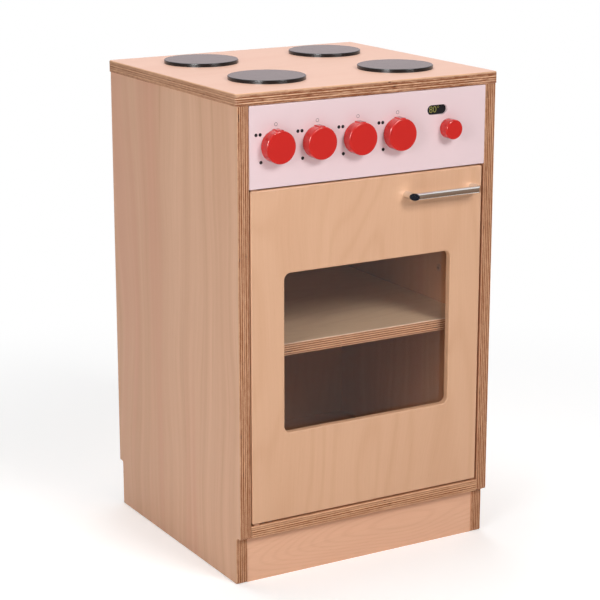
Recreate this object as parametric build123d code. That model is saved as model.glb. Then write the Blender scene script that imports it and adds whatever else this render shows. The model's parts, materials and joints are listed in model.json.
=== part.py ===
"""Toy oven: a birch plywood play stove with a hinged glazed door, four burner
discs, four hob knobs and an oven knob that turns a temperature dial.

Millimetres, +Z up, front towards -Y, origin on the floor under the middle of
the bounding box. While the pieces are made, y is measured back from the
front plane of the carcass; save() moves each one into the shared frame."""

import os

from build123d import *

# ---- Driving dimensions -------------------------------------------------

# Carcass
WIDTH = 360.0            # over the outer faces of the side panels
DEPTH = 340.0            # front plane to back plane
HEIGHT = 600.0           # floor to the top of the worktop
PLY = 15.0               # side panels, worktop, bottom, shelf and door
BACK_PLY = 9.0
TOP_OVERHANG = 2.0       # worktop past each side panel
EDGE_EASE = 1.2          # rounding of the visible plywood edges
TOP_EASE = 1.8           # rounding round the worktop
TOP_CORNER = 3.0         # its corner radius seen from above
PLINTH_HEIGHT = 60.0     # floor to the underside of the bottom panel
TOE_FRONT = 10.0         # how far the feet stand back at the front
TOE_BACK = 10.0          # and at the back
TOE_RADIUS = 4.0         # inner corner of each toe notch
TOE_CORNER = 3.0         # outer corners at the front
KICK_SETBACK = 1.5       # kickboard behind the front of the feet
KICK_PLY = 12.0
BACK_REBATE = 7.5        # width of the rebate that takes the back panel

# Shelf and its holes
SHELF_RISE = 216.0       # shelf top above the bottom panel
SHELF_FRONT = 20.0       # front edge behind the front plane
SHELF_PLAY = 1.0         # at each end and at the back
SHELF_PIN_RADIUS = 2.5
SHELF_PIN_OUT = 11.0     # how far a pin stands out of the panel
SHELF_HOLE_DEPTH = 10.0
SHELF_PITCH = 62.0       # between the heights at which the shelf can sit
SHELF_STEPS = 1          # spare heights above the shelf
PIN_FRONT_INSET = 94.0   # front row of holes to the front plane
PIN_REAR_INSET = 61.0    # rear row to the back panel
SLEEVE_WALL = 1.0
SLEEVE_FLANGE = 1.4      # flange width past the sleeve
SLEEVE_LIP = 0.7         # flange thickness

# Control panel
FASCIA_HEIGHT = 97.0
FASCIA_TOP_GAP = 0.5     # under the worktop
FASCIA_SIDE_GAP = 0.5    # to each side panel
FASCIA_SHEET = 3.0
FASCIA_EASE = 0.5        # rounding of its upper and lower front edges
RAIL_PLY = 12.0

# Knobs
KNOB_RISE = 48.5         # knob axes above the lower edge of the fascia
KNOB_FIRST_INSET = 35.0  # first hob knob to the left side panel
KNOB_COUNT = 4
KNOB_RADIUS = 19.4
KNOB_REACH = 14.5        # knob face in front of the fascia
KNOB_ROUND = 1.6         # round the face
KNOB_BACK_ROUND = 0.6
KNOB_GAP = 0.4           # between a knob and the fascia
POINTER_WIDTH = 8.0
POINTER_RISE = 0.7
POINTER_ROUND = 0.5
OVEN_KNOB_INSET = 55.0   # oven knob to the right side panel
OVEN_KNOB_SPACE = 73.5   # last hob knob to the oven knob
OVEN_KNOB_RADIUS = 12.0
SPINDLE_RADIUS = 3.0
SPINDLE_GRIP = 9.0       # length held in the knob
PIN_CHAMFER = 0.5        # ends of spindles and pivot pins
BUSH_WALL = 2.0
BUSH_FLANGE = 2.5
BUSH_LIP = 1.0
RUN_CLEAR = 0.06         # radial clearance of turning fits
FIXED_CLEAR = 0.03       # radial clearance of fits that stay put
END_PLAY = 0.3           # axial play of turning parts
WASHER_RADIUS = 7.0
WASHER_THICK = 1.2
NUT_ACROSS = 10.0
NUT_THICK = 5.0
SPINDLE_TAIL = 1.5       # thread past the nut

# Temperature dial and its window
DIAL_RADIUS = 42.0
DIAL_THICK = 1.5
DIAL_AIR = 0.4           # in front of the dial and behind it
DIAL_POCKET_PLAY = 1.0   # round the rim of the dial
DIAL_WINDOW_LEFT = 16.0  # window centre to the left of the oven knob
DIAL_WINDOW_RISE = 23.7  # and above it
DIAL_WINDOW_LENGTH = 28.5
DIAL_WINDOW_HEIGHT = 11.8

# Door
DOOR_GAP_HINGE = 1.7
DOOR_GAP_FREE = 2.8
DOOR_GAP_TOP = 2.0
DOOR_GAP_BOTTOM = 2.5
DOOR_CORNER = 2.0        # corner radius seen from the front
DOOR_EASE = 1.5          # rounding of its front edges
DOOR_STILE = 45.0        # wood at each side of the cut-out
DOOR_TOP_RAIL = 102.5    # wood above the cut-out
DOOR_FOOT_RAIL = 108.5   # wood below it
GLASS_CORNER = 8.5
GLASS_LIP = 8.0          # door thickness left in front of the pane
GLASS_LAP = 8.0          # rebate past the cut-out
GLASS_PLAY = 1.0
PANE_THICK = 3.0
BEAD_SET_BACK = 4.0      # beads behind the edge of the cut-out

# Door pivots
PIVOT_INSET = 7.0        # axis from the hinge edge of the door
PIVOT_DEPTH = 5.2        # axis behind the face of the door
PIVOT_PIN_RADIUS = 2.0
PIVOT_PIN_REACH = 9.5    # pin past its plate
PIVOT_PLATE_LENGTH = 30.0
PIVOT_PLATE_DEPTH = 10.0
PIVOT_PLATE_THICK = 2.0
PIVOT_BUSH_WALL = 1.5
PIVOT_BUSH_LENGTH = 11.0
PIVOT_FLANGE = 1.2       # flange width past the bush
PIVOT_LIP = 1.0          # flange thickness on the top bush

# Handle
HANDLE_CENTRES = 96.0
HANDLE_INSET = 63.0      # middle of the handle to the free edge of the door
HANDLE_DROP = 25.6       # handle below the top of the door
HANDLE_ROD = 4.5         # radius of the bar and its posts
HANDLE_STANDOFF = 18.0   # bar axis in front of the door
HANDLE_SCREW_RADIUS = 2.0
HANDLE_SCREW_GRIP = 10.0
HANDLE_HEAD_RADIUS = 4.0
HANDLE_HEAD_HEIGHT = 2.6
PAN_ROUNDING = 0.45      # share of a round head's height

# Magnetic catch and its strike
CATCH_LENGTH = 44.0
CATCH_WIDTH = 15.0
CATCH_DEPTH = 14.0
CATCH_DROP = 60.5        # middle of the catch below the top of the door
CATCH_SCREW_LENGTH = 21.0
CATCH_AIR = 0.4          # between the magnet and the strike
MAGNET_LENGTH = 24.0
MAGNET_WIDTH = 7.0
MAGNET_DEPTH = 9.0
MAGNET_STAND = 0.8       # poles proud of the case
CATCH_CORNER = 2.0
STRIKE_LENGTH = 38.0
STRIKE_WIDTH = 10.0
STRIKE_EDGE = 1.0        # strike to the free edge of the door
STRIKE_THICK = 1.2
STRIKE_CORNER = 2.0

# Burner discs
BURNER_RADIUS = 47.0
BURNER_THICK = 4.5
BURNER_BEVEL = 1.0
BURNER_SIDE_INSET = 91.0     # burner centre to the side of the worktop
BURNER_FRONT_INSET = 89.0    # front burners to its front edge
BURNER_REAR_INSET = 82.0     # rear burners to its back edge
BURNER_SCREW_GRIP = 3.2

# Fasteners
DOWEL_RADIUS = 4.0
DOWEL_LENGTH = 30.0
DOWEL_IN_PANEL = 11.0    # part of a dowel in a side panel
DOWEL_IN_TOP = 10.0      # part of a dowel in the worktop
RAIL_DOWEL_RADIUS = 3.0
HOLE_EXTRA = 0.5         # hole depth past the end of a dowel or screw
SCREW_RADIUS = 1.75
SCREW_HEAD_RADIUS = 3.5
BACK_SCREW_LENGTH = 25.0
SHORT_SCREW_LENGTH = 12.0

# Places along a joint, as shares of its length
DOWEL_SHARES = (0.18, 0.5, 0.82)
BACK_SCREW_SHARES = (0.08, 0.36, 0.64, 0.92)
BOTTOM_SCREW_SHARES = (-0.6, 0, 0.6)
PIVOT_SCREW_SHARES = (0.5, 0.84)

# ---- Sizes that follow ---------------------------------------------------

OUT_X = WIDTH / 2
IN_X = OUT_X - PLY
SIDE_TOP = HEIGHT - PLY
FLOOR_TOP = PLINTH_HEIGHT + PLY
SHELF_TOP = FLOOR_TOP + SHELF_RISE
BACK_FACE = DEPTH - BACK_PLY
HANDLE_REACH = HANDLE_STANDOFF + HANDLE_ROD
CENTRE_Y = (DEPTH - HANDLE_REACH) / 2

FASCIA_TOP = SIDE_TOP - FASCIA_TOP_GAP
FASCIA_BOTTOM = FASCIA_TOP - FASCIA_HEIGHT
PANEL_THICK = FASCIA_SHEET + RAIL_PLY
DOOR_LEFT = -IN_X + DOOR_GAP_HINGE
DOOR_RIGHT = IN_X - DOOR_GAP_FREE
DOOR_BOTTOM = FLOOR_TOP + DOOR_GAP_BOTTOM
DOOR_TOP = FASCIA_BOTTOM - DOOR_GAP_TOP
PIVOT_X = DOOR_LEFT + PIVOT_INSET
GLASS_WIDTH = DOOR_RIGHT - DOOR_LEFT - 2 * DOOR_STILE
GLASS_HEIGHT = DOOR_TOP - DOOR_BOTTOM - DOOR_TOP_RAIL - DOOR_FOOT_RAIL
GLASS_X = (DOOR_LEFT + DOOR_RIGHT) / 2
GLASS_Z = DOOR_BOTTOM + DOOR_FOOT_RAIL + GLASS_HEIGHT / 2
HANDLE_X = DOOR_RIGHT - HANDLE_INSET
HANDLE_Z = DOOR_TOP - HANDLE_DROP
CATCH_Z = DOOR_TOP - CATCH_DROP

KNOB_HEIGHT = FASCIA_BOTTOM + KNOB_RISE
OVEN_KNOB_X = IN_X - OVEN_KNOB_INSET
KNOB_FIRST_X = -IN_X + KNOB_FIRST_INSET
KNOB_PITCH = (OVEN_KNOB_X - OVEN_KNOB_SPACE - KNOB_FIRST_X) / (KNOB_COUNT - 1)
DIAL_WINDOW_X = OVEN_KNOB_X - DIAL_WINDOW_LEFT
DIAL_WINDOW_Z = KNOB_HEIGHT + DIAL_WINDOW_RISE
KNOB_XS = [KNOB_FIRST_X + KNOB_PITCH * i for i in range(KNOB_COUNT)]
KNOBS = [(f"hob_{i + 1}", x) for i, x in enumerate(KNOB_XS)] + [("oven", OVEN_KNOB_X)]
SPINDLE_HOLE = SPINDLE_RADIUS + RUN_CLEAR + BUSH_WALL + FIXED_CLEAR
WASHER_Y = PANEL_THICK + BUSH_LIP + END_PLAY
NUT_Y = WASHER_Y + WASHER_THICK
SHELF_BOTTOM = SHELF_TOP - PLY
PIN_Z = SHELF_BOTTOM - SHELF_PIN_RADIUS
PIN_ROWS = (PIN_FRONT_INSET, BACK_FACE - PIN_REAR_INSET)
SLEEVE_RADIUS = SHELF_PIN_RADIUS + FIXED_CLEAR + SLEEVE_WALL
DIAL_BACK = FASCIA_SHEET + DIAL_THICK + 2 * DIAL_AIR
CATCH_FACE = PLY + STRIKE_THICK + CATCH_AIR + MAGNET_STAND
STRIKE_X = DOOR_RIGHT - STRIKE_EDGE - STRIKE_WIDTH / 2
BURNER_X = OUT_X + TOP_OVERHANG - BURNER_SIDE_INSET
BURNER_BACK_Y = DEPTH - BURNER_REAR_INSET
BURNERS = {
    "burner_front_left": (-BURNER_X, BURNER_FRONT_INSET),
    "burner_front_right": (BURNER_X, BURNER_FRONT_INSET),
    "burner_back_left": (-BURNER_X, BURNER_BACK_Y),
    "burner_back_right": (BURNER_X, BURNER_BACK_Y),
}

os.makedirs("parts", exist_ok=True)


# ---- Helpers --------------------------------------------------------------

def save(name, *solids):
    """Writes one node, moved into the shared frame."""
    moved = [Pos(0, -CENTRE_Y, 0) * s for s in solids]
    shape = moved[0] if len(moved) == 1 else Compound(children=moved)
    export_step(shape, f"parts/{name}.step")


def block(x0, x1, y0, y1, z0, z1):
    """A box between two corners."""
    centre = Pos((x0 + x1) / 2, (y0 + y1) / 2, (z0 + z1) / 2)
    return centre * Box(x1 - x0, y1 - y0, z1 - z0)


def rod(start, end, radius):
    """A round bar from one point to another."""
    start, end = Vector(*start), Vector(*end)
    run = end - start
    return extrude(Plane(start, z_dir=run) * Circle(radius), run.length)


def screw(head, tip, head_radius=SCREW_HEAD_RADIUS, radius=SCREW_RADIUS):
    """A countersunk screw from the face of its head to its tip."""
    head, tip = Vector(*head), Vector(*tip)
    cone = head_radius - radius
    run = (tip - head).normalized()
    neck = head + run * cone
    sink = loft([Plane(head, z_dir=run) * Circle(head_radius),
                 Plane(neck, z_dir=run) * Circle(radius)])
    return sink + rod(neck, tip, radius)


def screw_hole(head, tip, head_radius=SCREW_HEAD_RADIUS, radius=SCREW_RADIUS):
    """The countersunk hole that such a screw fills."""
    head, tip = Vector(*head), Vector(*tip)
    end = tip + (tip - head).normalized() * HOLE_EXTRA
    return screw(head, end, head_radius + FIXED_CLEAR, radius + FIXED_CLEAR)


def pan_screw(head, tip, radius, head_radius, head_height):
    """A screw whose round head stands on the face at point head."""
    head, tip = Vector(*head), Vector(*tip)
    back = head - (tip - head).normalized() * head_height
    crown = rod(back, head, head_radius)
    rim = crown.edges().filter_by(GeomType.CIRCLE).sort_by_distance(back)[0]
    return fillet(rim, head_height * PAN_ROUNDING) + rod(head, tip, radius)


def plate(width, height, radius, y0, y1, x=0.0, z=0.0):
    """A board in the XZ plane with rounded corners, from y0 back to y1."""
    outline = Rot(90, 0, 0) * RectangleRounded(width, height, radius)
    return Pos(x, y1, z) * extrude(outline, y1 - y0, dir=(0, -1, 0))


def edges_at(shape, axis, value, along=None):
    """Edges whose middle lies at a value on an axis, optionally along another."""
    found = shape.edges().filter_by_position(axis, value - 0.01, value + 0.01)
    return found.filter_by(along) if along else found


# ---- Dowels and screws that join the carcass -------------------------------

def side_dowels(radius, length, clear, y, z):
    """Two dowels across the joints between a cross board and the sides."""
    made = []
    for side in (-1, 1):
        outer = side * (IN_X + DOWEL_IN_PANEL + clear)
        inner = side * (IN_X + DOWEL_IN_PANEL - length - clear)
        made.append(rod((outer, y, z), (inner, y, z), radius))
    return made


def carcass_dowels(grow=0.0, extra=0.0):
    """Dowels of the bottom panel, the kickboard and the worktop."""
    radius = DOWEL_RADIUS + grow
    rows = [DEPTH * k for k in DOWEL_SHARES]
    made = []
    for y in rows:
        made += side_dowels(radius, DOWEL_LENGTH, extra, y, PLINTH_HEIGHT + PLY / 2)
    kick_y = TOE_FRONT + KICK_SETBACK + KICK_PLY / 2
    made += side_dowels(radius, DOWEL_LENGTH, extra, kick_y, PLINTH_HEIGHT / 2)
    top = SIDE_TOP + DOWEL_IN_TOP + extra
    foot = SIDE_TOP + DOWEL_IN_TOP - DOWEL_LENGTH - extra
    for x in (-OUT_X + PLY / 2, OUT_X - PLY / 2):
        made += [rod((x, y, foot), (x, y, top), radius) for y in rows]
    return made


def rail_dowels(grow=0.0, extra=0.0):
    """Dowels at the ends of the rail behind the fascia."""
    y = FASCIA_SHEET + RAIL_PLY / 2
    middle = (FASCIA_BOTTOM + FASCIA_TOP) / 2
    spread = (FASCIA_TOP - FASCIA_BOTTOM) / 3
    made = []
    for z in (middle - spread, middle + spread):
        made += side_dowels(RAIL_DOWEL_RADIUS + grow, DOWEL_LENGTH, extra, y, z)
    return made


def back_screws(make):
    """Screws through the back panel into the sides and the bottom panel."""
    line = OUT_X - PLY + BACK_REBATE / 2
    span = SIDE_TOP - FLOOR_TOP
    places = [(x, FLOOR_TOP + span * k) for x in (-line, line) for k in BACK_SCREW_SHARES]
    places += [(IN_X * k, PLINTH_HEIGHT + PLY / 2) for k in BOTTOM_SCREW_SHARES]
    return [make((x, DEPTH, z), (x, DEPTH - BACK_SCREW_LENGTH, z))
            for x, z in places]


def burner_screws(make):
    """Screws up through the worktop into the burner discs."""
    return [make((x, y, SIDE_TOP), (x, y, HEIGHT + BURNER_SCREW_GRIP))
            for x, y in BURNERS.values()]


DOWEL_HOLES = carcass_dowels(FIXED_CLEAR, HOLE_EXTRA)
RAIL_DOWEL_HOLES = rail_dowels(FIXED_CLEAR, HOLE_EXTRA)
BACK_SCREW_HOLES = back_screws(screw_hole)
BURNER_SCREW_HOLES = burner_screws(screw_hole)


# ---- Carcass ----------------------------------------------------------------

def worktop():
    half = OUT_X + TOP_OVERHANG
    top = block(-half, half, 0, DEPTH, SIDE_TOP, HEIGHT)
    top = fillet(top.edges().filter_by(Axis.Z), TOP_CORNER)
    top = fillet(top.faces().sort_by(Axis.Z)[-1].edges(), TOP_EASE)
    top = fillet(top.faces().sort_by(Axis.Z)[0].edges(), EDGE_EASE)
    return top - DOWEL_HOLES - BURNER_SCREW_HOLES


def side_outline():
    """A side panel seen from the side, with a toe notch at each end."""
    points = [(TOE_FRONT, 0), (DEPTH - TOE_BACK, 0), (DEPTH - TOE_BACK, PLINTH_HEIGHT),
              (DEPTH, PLINTH_HEIGHT), (DEPTH, SIDE_TOP), (0, SIDE_TOP),
              (0, PLINTH_HEIGHT), (TOE_FRONT, PLINTH_HEIGHT)]
    face = make_face(Polyline(*points, close=True))
    inner = [v for v in face.vertices()
             if abs(v.Y - PLINTH_HEIGHT) < 0.01 and TOE_FRONT / 2 < v.X < DEPTH - TOE_BACK / 2]
    face = fillet(inner, TOE_RADIUS)
    outer = [v for v in face.vertices()
             if v.X < 0.01 and abs(v.Y - PLINTH_HEIGHT) < 0.01
             or abs(v.X - TOE_FRONT) < 0.01 and v.Y < 0.01]
    return fillet(outer, TOE_CORNER)


def shelf_holes(side, make):
    """One made thing for each shelf height and row on one side panel."""
    made = []
    for step in range(SHELF_STEPS + 1):
        for y in PIN_ROWS:
            made.append(make(side, y, PIN_Z + step * SHELF_PITCH))
    return made


def sleeve_seat(side, y, z):
    """The blind hole in a side panel that takes one sleeve."""
    return rod((side * IN_X, y, z), (side * (IN_X + SHELF_HOLE_DEPTH), y, z),
               SLEEVE_RADIUS + FIXED_CLEAR)


def side_panel(side):
    panel = extrude(Plane.YZ * side_outline(), PLY)
    panel = Pos(IN_X if side > 0 else -OUT_X, 0, 0) * panel
    front = [e for e in panel.edges()
             if e.center().Y < TOE_FRONT + TOE_CORNER and e.center().Z < SIDE_TOP - 1
             and abs(abs(e.center().X) - OUT_X + PLY / 2) > 1]
    panel = fillet(front, EDGE_EASE)
    rear = [e for e in edges_at(panel, Axis.Y, DEPTH, Axis.Z)
            if abs(e.center().X) > OUT_X - 0.01]
    panel = fillet(rear, EDGE_EASE)
    rebate = block(IN_X - 1, IN_X + BACK_REBATE, BACK_FACE, DEPTH + 1,
                   PLINTH_HEIGHT, SIDE_TOP + 1)
    if side < 0:
        rebate = mirror(rebate, Plane.YZ)
    panel = panel - rebate - shelf_holes(side, sleeve_seat)
    panel = panel - DOWEL_HOLES - RAIL_DOWEL_HOLES - BACK_SCREW_HOLES
    if side > 0:
        panel = panel - catch_screws(screw_hole)
    return panel


def bottom_panel():
    board = block(-IN_X, IN_X, 0, BACK_FACE, PLINTH_HEIGHT, FLOOR_TOP)
    board = fillet(edges_at(board, Axis.Y, 0, Axis.X), EDGE_EASE)
    board = board - DOWEL_HOLES - BACK_SCREW_HOLES
    return board - pivot_plate_seat(FLOOR_TOP, -1) - pivot_screws(FLOOR_TOP, -1, screw_hole)


def back_panel():
    half = IN_X + BACK_REBATE - FIXED_CLEAR
    board = block(-half, half, BACK_FACE, DEPTH, PLINTH_HEIGHT, SIDE_TOP)
    return board - BACK_SCREW_HOLES


def shelf():
    half = IN_X - SHELF_PLAY
    board = block(-half, half, SHELF_FRONT, BACK_FACE - SHELF_PLAY, SHELF_BOTTOM, SHELF_TOP)
    return fillet(edges_at(board, Axis.Y, SHELF_FRONT, Axis.X), EDGE_EASE)


def kickboard():
    front = TOE_FRONT + KICK_SETBACK
    board = block(-IN_X, IN_X, front, front + KICK_PLY, 0, PLINTH_HEIGHT)
    return board - DOWEL_HOLES


def shelf_sleeve(side, y, z):
    """A flanged plastic sleeve let into a side panel."""
    flange = SLEEVE_RADIUS + SLEEVE_FLANGE
    body = rod((side * IN_X, y, z), (side * (IN_X + SHELF_HOLE_DEPTH), y, z), SLEEVE_RADIUS)
    body += rod((side * (IN_X - SLEEVE_LIP), y, z), (side * IN_X, y, z), flange)
    bore = SHELF_PIN_RADIUS + FIXED_CLEAR
    return body - rod((side * (IN_X - 2 * SLEEVE_LIP), y, z),
                      (side * (IN_X + SHELF_HOLE_DEPTH + 1), y, z), bore)


def shelf_pin(side, y):
    """A plain round pin under the shelf."""
    return rod((side * (IN_X + SHELF_HOLE_DEPTH), y, PIN_Z),
               (side * (IN_X - SHELF_PIN_OUT), y, PIN_Z), SHELF_PIN_RADIUS)


# ---- Control panel -----------------------------------------------------------

def control_board(half, y0, y1):
    """A board of the control panel with its spindle holes."""
    board = block(-half, half, y0, y1, FASCIA_BOTTOM, FASCIA_TOP)
    return board - [rod((x, y0 - 1, KNOB_HEIGHT), (x, y1 + 1, KNOB_HEIGHT), SPINDLE_HOLE)
                    for _, x in KNOBS]


def fascia():
    board = control_board(IN_X - FASCIA_SIDE_GAP, 0, FASCIA_SHEET)
    board = fillet(edges_at(board, Axis.Y, 0, Axis.X), FASCIA_EASE)
    slot = Rot(90, 0, 0) * SlotOverall(DIAL_WINDOW_LENGTH, DIAL_WINDOW_HEIGHT)
    return board - Pos(DIAL_WINDOW_X, FASCIA_SHEET + 1, DIAL_WINDOW_Z) * extrude(
        slot, FASCIA_SHEET + 2, dir=(0, -1, 0))


def fascia_rail():
    """The board behind the fascia: it carries the bushes and the upper pivot."""
    board = control_board(IN_X, FASCIA_SHEET, PANEL_THICK)
    board -= rod((OVEN_KNOB_X, 0, KNOB_HEIGHT), (OVEN_KNOB_X, DIAL_BACK, KNOB_HEIGHT),
                 DIAL_RADIUS + DIAL_POCKET_PLAY)
    board = board - RAIL_DOWEL_HOLES
    return board - pivot_plate_seat(FASCIA_BOTTOM, 1) - pivot_screws(FASCIA_BOTTOM, 1, screw_hole)


def knob(x, radius):
    """A plain round knob with a blind hole for its spindle."""
    z = KNOB_HEIGHT
    body = rod((x, -KNOB_GAP, z), (x, -KNOB_REACH, z), radius)
    body = fillet(body.faces().sort_by(Axis.Y)[0].edges(), KNOB_ROUND)
    body = fillet(body.faces().sort_by(Axis.Y)[-1].edges(), KNOB_BACK_ROUND)
    return body - rod((x, 0, z), (x, -KNOB_GAP - SPINDLE_GRIP, z), SPINDLE_RADIUS + FIXED_CLEAR)


def hob_knob(x):
    """A knob with a pointer rib along the top of its rim."""
    z = KNOB_HEIGHT
    body = knob(x, KNOB_RADIUS)
    rib = block(x - POINTER_WIDTH / 2, x + POINTER_WIDTH / 2, -KNOB_REACH + KNOB_ROUND,
                -KNOB_GAP, z + SPINDLE_RADIUS + FIXED_CLEAR, z + KNOB_RADIUS + POINTER_RISE)
    rib = fillet(rib.edges().filter_by(Axis.Y).group_by(Axis.Z)[-1], POINTER_ROUND)
    nose = rib.faces().sort_by(Axis.Y)[0].edges().sort_by(Axis.Z)[-1]
    return body + fillet(nose, POINTER_ROUND)


def spindle(x):
    z = KNOB_HEIGHT
    stud = rod((x, -KNOB_GAP - SPINDLE_GRIP, z), (x, NUT_Y + NUT_THICK + SPINDLE_TAIL, z),
               SPINDLE_RADIUS)
    return chamfer(stud.faces().sort_by(Axis.Y)[-1].edges(), PIN_CHAMFER)


def spindle_bush(x, front):
    """A flanged bush in the control panel, from front to behind the rail."""
    z = KNOB_HEIGHT
    outer = SPINDLE_HOLE - FIXED_CLEAR
    body = rod((x, front, z), (x, PANEL_THICK, z), outer)
    body += rod((x, PANEL_THICK, z), (x, PANEL_THICK + BUSH_LIP, z), outer + BUSH_FLANGE)
    return body - rod((x, -1, z), (x, PANEL_THICK + BUSH_LIP + 1, z), SPINDLE_RADIUS + RUN_CLEAR)


def washer_and_nut(x):
    """The washer and the lock nut on the tail of a spindle."""
    z = KNOB_HEIGHT
    hole = SPINDLE_RADIUS + FIXED_CLEAR
    ring = rod((x, WASHER_Y, z), (x, NUT_Y, z), WASHER_RADIUS)
    ring -= rod((x, 0, z), (x, NUT_Y + 1, z), hole)
    outline = Plane((x, NUT_Y, z), z_dir=(0, 1, 0)) * RegularPolygon(
        NUT_ACROSS / 2, 6, major_radius=False)
    nut = extrude(outline, NUT_THICK)
    nut -= rod((x, 0, z), (x, NUT_Y + NUT_THICK + 1, z), hole)
    return ring, nut


def dial_disc():
    """The printed disc on the oven knob's spindle."""
    y = FASCIA_SHEET + DIAL_AIR
    z = KNOB_HEIGHT
    disc = rod((OVEN_KNOB_X, y, z), (OVEN_KNOB_X, y + DIAL_THICK, z), DIAL_RADIUS)
    return disc - rod((OVEN_KNOB_X, 0, z), (OVEN_KNOB_X, PANEL_THICK, z),
                      SPINDLE_RADIUS + FIXED_CLEAR)


# ---- Door -----------------------------------------------------------------------

def door_panel():
    width = DOOR_RIGHT - DOOR_LEFT
    height = DOOR_TOP - DOOR_BOTTOM
    board = plate(width, height, DOOR_CORNER, 0, PLY,
                  GLASS_X, (DOOR_BOTTOM + DOOR_TOP) / 2)
    board = fillet(board.faces().sort_by(Axis.Y)[0].edges(), DOOR_EASE)
    cut = plate(GLASS_WIDTH, GLASS_HEIGHT, GLASS_CORNER, -1, PLY + 1, GLASS_X, GLASS_Z)
    board = board - cut
    rim = [e for e in edges_at(board, Axis.Y, 0)
           if abs(e.center().X - GLASS_X) < GLASS_WIDTH / 2 + 1
           and abs(e.center().Z - GLASS_Z) < GLASS_HEIGHT / 2 + 1]
    board = fillet(rim, DOOR_EASE)
    rebate = plate(GLASS_WIDTH + 2 * GLASS_LAP, GLASS_HEIGHT + 2 * GLASS_LAP,
                   GLASS_CORNER + GLASS_LAP, GLASS_LIP, PLY + 1, GLASS_X, GLASS_Z)
    board = board - rebate - [pivot_bush_seat(end) for end in (-1, 1)]
    board = board - [rod((x, -1, HANDLE_Z), (x, PLY + 1, HANDLE_Z),
                         HANDLE_SCREW_RADIUS + FIXED_CLEAR) for x in handle_xs()]
    return board - strike_screw(screw_hole)


def door_window():
    play = 2 * (GLASS_LAP - GLASS_PLAY)
    return plate(GLASS_WIDTH + play, GLASS_HEIGHT + play, GLASS_CORNER + GLASS_LAP - GLASS_PLAY,
                 GLASS_LIP, GLASS_LIP + PANE_THICK, GLASS_X, GLASS_Z)


def glazing_beads():
    """Four wooden strips that hold the pane in its rebate."""
    front, back = GLASS_LIP + PANE_THICK, PLY
    half_x = GLASS_WIDTH / 2
    half_z = GLASS_HEIGHT / 2
    made = []
    for end in (-1, 1):
        outer = GLASS_X + end * (half_x + GLASS_LAP)
        inner = GLASS_X + end * (half_x + BEAD_SET_BACK)
        made.append(block(min(outer, inner), max(outer, inner), front, back,
                          GLASS_Z - half_z + GLASS_CORNER, GLASS_Z + half_z - GLASS_CORNER))
        outer = GLASS_Z + end * (half_z + GLASS_LAP)
        inner = GLASS_Z + end * (half_z + BEAD_SET_BACK)
        made.append(block(GLASS_X - half_x + GLASS_CORNER, GLASS_X + half_x - GLASS_CORNER,
                          front, back,
                          min(outer, inner), max(outer, inner)))
    return made


def handle_xs():
    return (HANDLE_X - HANDLE_CENTRES / 2, HANDLE_X + HANDLE_CENTRES / 2)


def handle_corner(x, side):
    """The wedge cut off where the bar meets a post: it leaves a flat oval at 45 degrees."""
    reach = 2 * HANDLE_ROD
    y = -HANDLE_STANDOFF
    wedge = make_face(Polyline((x - side * reach, y - reach), (x + side * reach, y + reach),
                               (x + side * reach, y - reach), close=True))
    return Pos(0, 0, HANDLE_Z - reach) * extrude(wedge, 2 * reach, dir=(0, 0, 1))


def door_handle():
    """A round bar on two posts, with a threaded hole in each post."""
    left, right = handle_xs()
    front = -HANDLE_STANDOFF - HANDLE_ROD
    bar = rod((left - HANDLE_ROD, -HANDLE_STANDOFF, HANDLE_Z),
              (right + HANDLE_ROD, -HANDLE_STANDOFF, HANDLE_Z), HANDLE_ROD)
    for x, side in ((left, -1), (right, 1)):
        bar += rod((x, 0, HANDLE_Z), (x, front, HANDLE_Z), HANDLE_ROD)
        bar -= handle_corner(x, side)
    return bar - [rod((x, 0, HANDLE_Z), (x, -HANDLE_SCREW_GRIP - HOLE_EXTRA, HANDLE_Z),
                      HANDLE_SCREW_RADIUS + FIXED_CLEAR) for x in (left, right)]


def handle_screws():
    return [pan_screw((x, PLY, HANDLE_Z), (x, -HANDLE_SCREW_GRIP, HANDLE_Z),
                      HANDLE_SCREW_RADIUS, HANDLE_HEAD_RADIUS, HANDLE_HEAD_HEIGHT)
            for x in handle_xs()]


# ---- Door pivots: a plate with a pin at each end of the hinge edge ----------------

def pivot_plate_box(face_z, side, grow=0.0):
    """The plate let into the face at face_z; side is the way into the wood."""
    near, far = face_z, face_z + side * (PIVOT_PLATE_THICK + grow)
    left = PIVOT_X - PIVOT_PLATE_DEPTH / 2
    return block(left - grow, left + PIVOT_PLATE_LENGTH + grow, FASCIA_SHEET,
                 FASCIA_SHEET + PIVOT_PLATE_DEPTH + grow, min(near, far), max(near, far))


def pivot_plate_seat(face_z, side):
    return pivot_plate_box(face_z, side, FIXED_CLEAR)


def pivot_screws(face_z, side, make):
    """Two screws through a pivot plate into the wood."""
    y = FASCIA_SHEET + PIVOT_PLATE_DEPTH / 2
    start = PIVOT_X - PIVOT_PLATE_DEPTH / 2
    return [make((start + PIVOT_PLATE_LENGTH * k, y, face_z),
                 (start + PIVOT_PLATE_LENGTH * k, y, face_z + side * SHORT_SCREW_LENGTH))
            for k in PIVOT_SCREW_SHARES]


def pivot_plate(face_z, side):
    plate_body = pivot_plate_box(face_z, side) - pivot_screws(face_z, side, screw_hole)
    tip = face_z - side * PIVOT_PIN_REACH
    pin = rod((PIVOT_X, PIVOT_DEPTH, face_z), (PIVOT_X, PIVOT_DEPTH, tip), PIVOT_PIN_RADIUS)
    pin = chamfer(pin.edges().filter_by(GeomType.CIRCLE).sort_by_distance(
        (PIVOT_X, PIVOT_DEPTH, tip))[0], PIN_CHAMFER)
    return plate_body + pin


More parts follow.
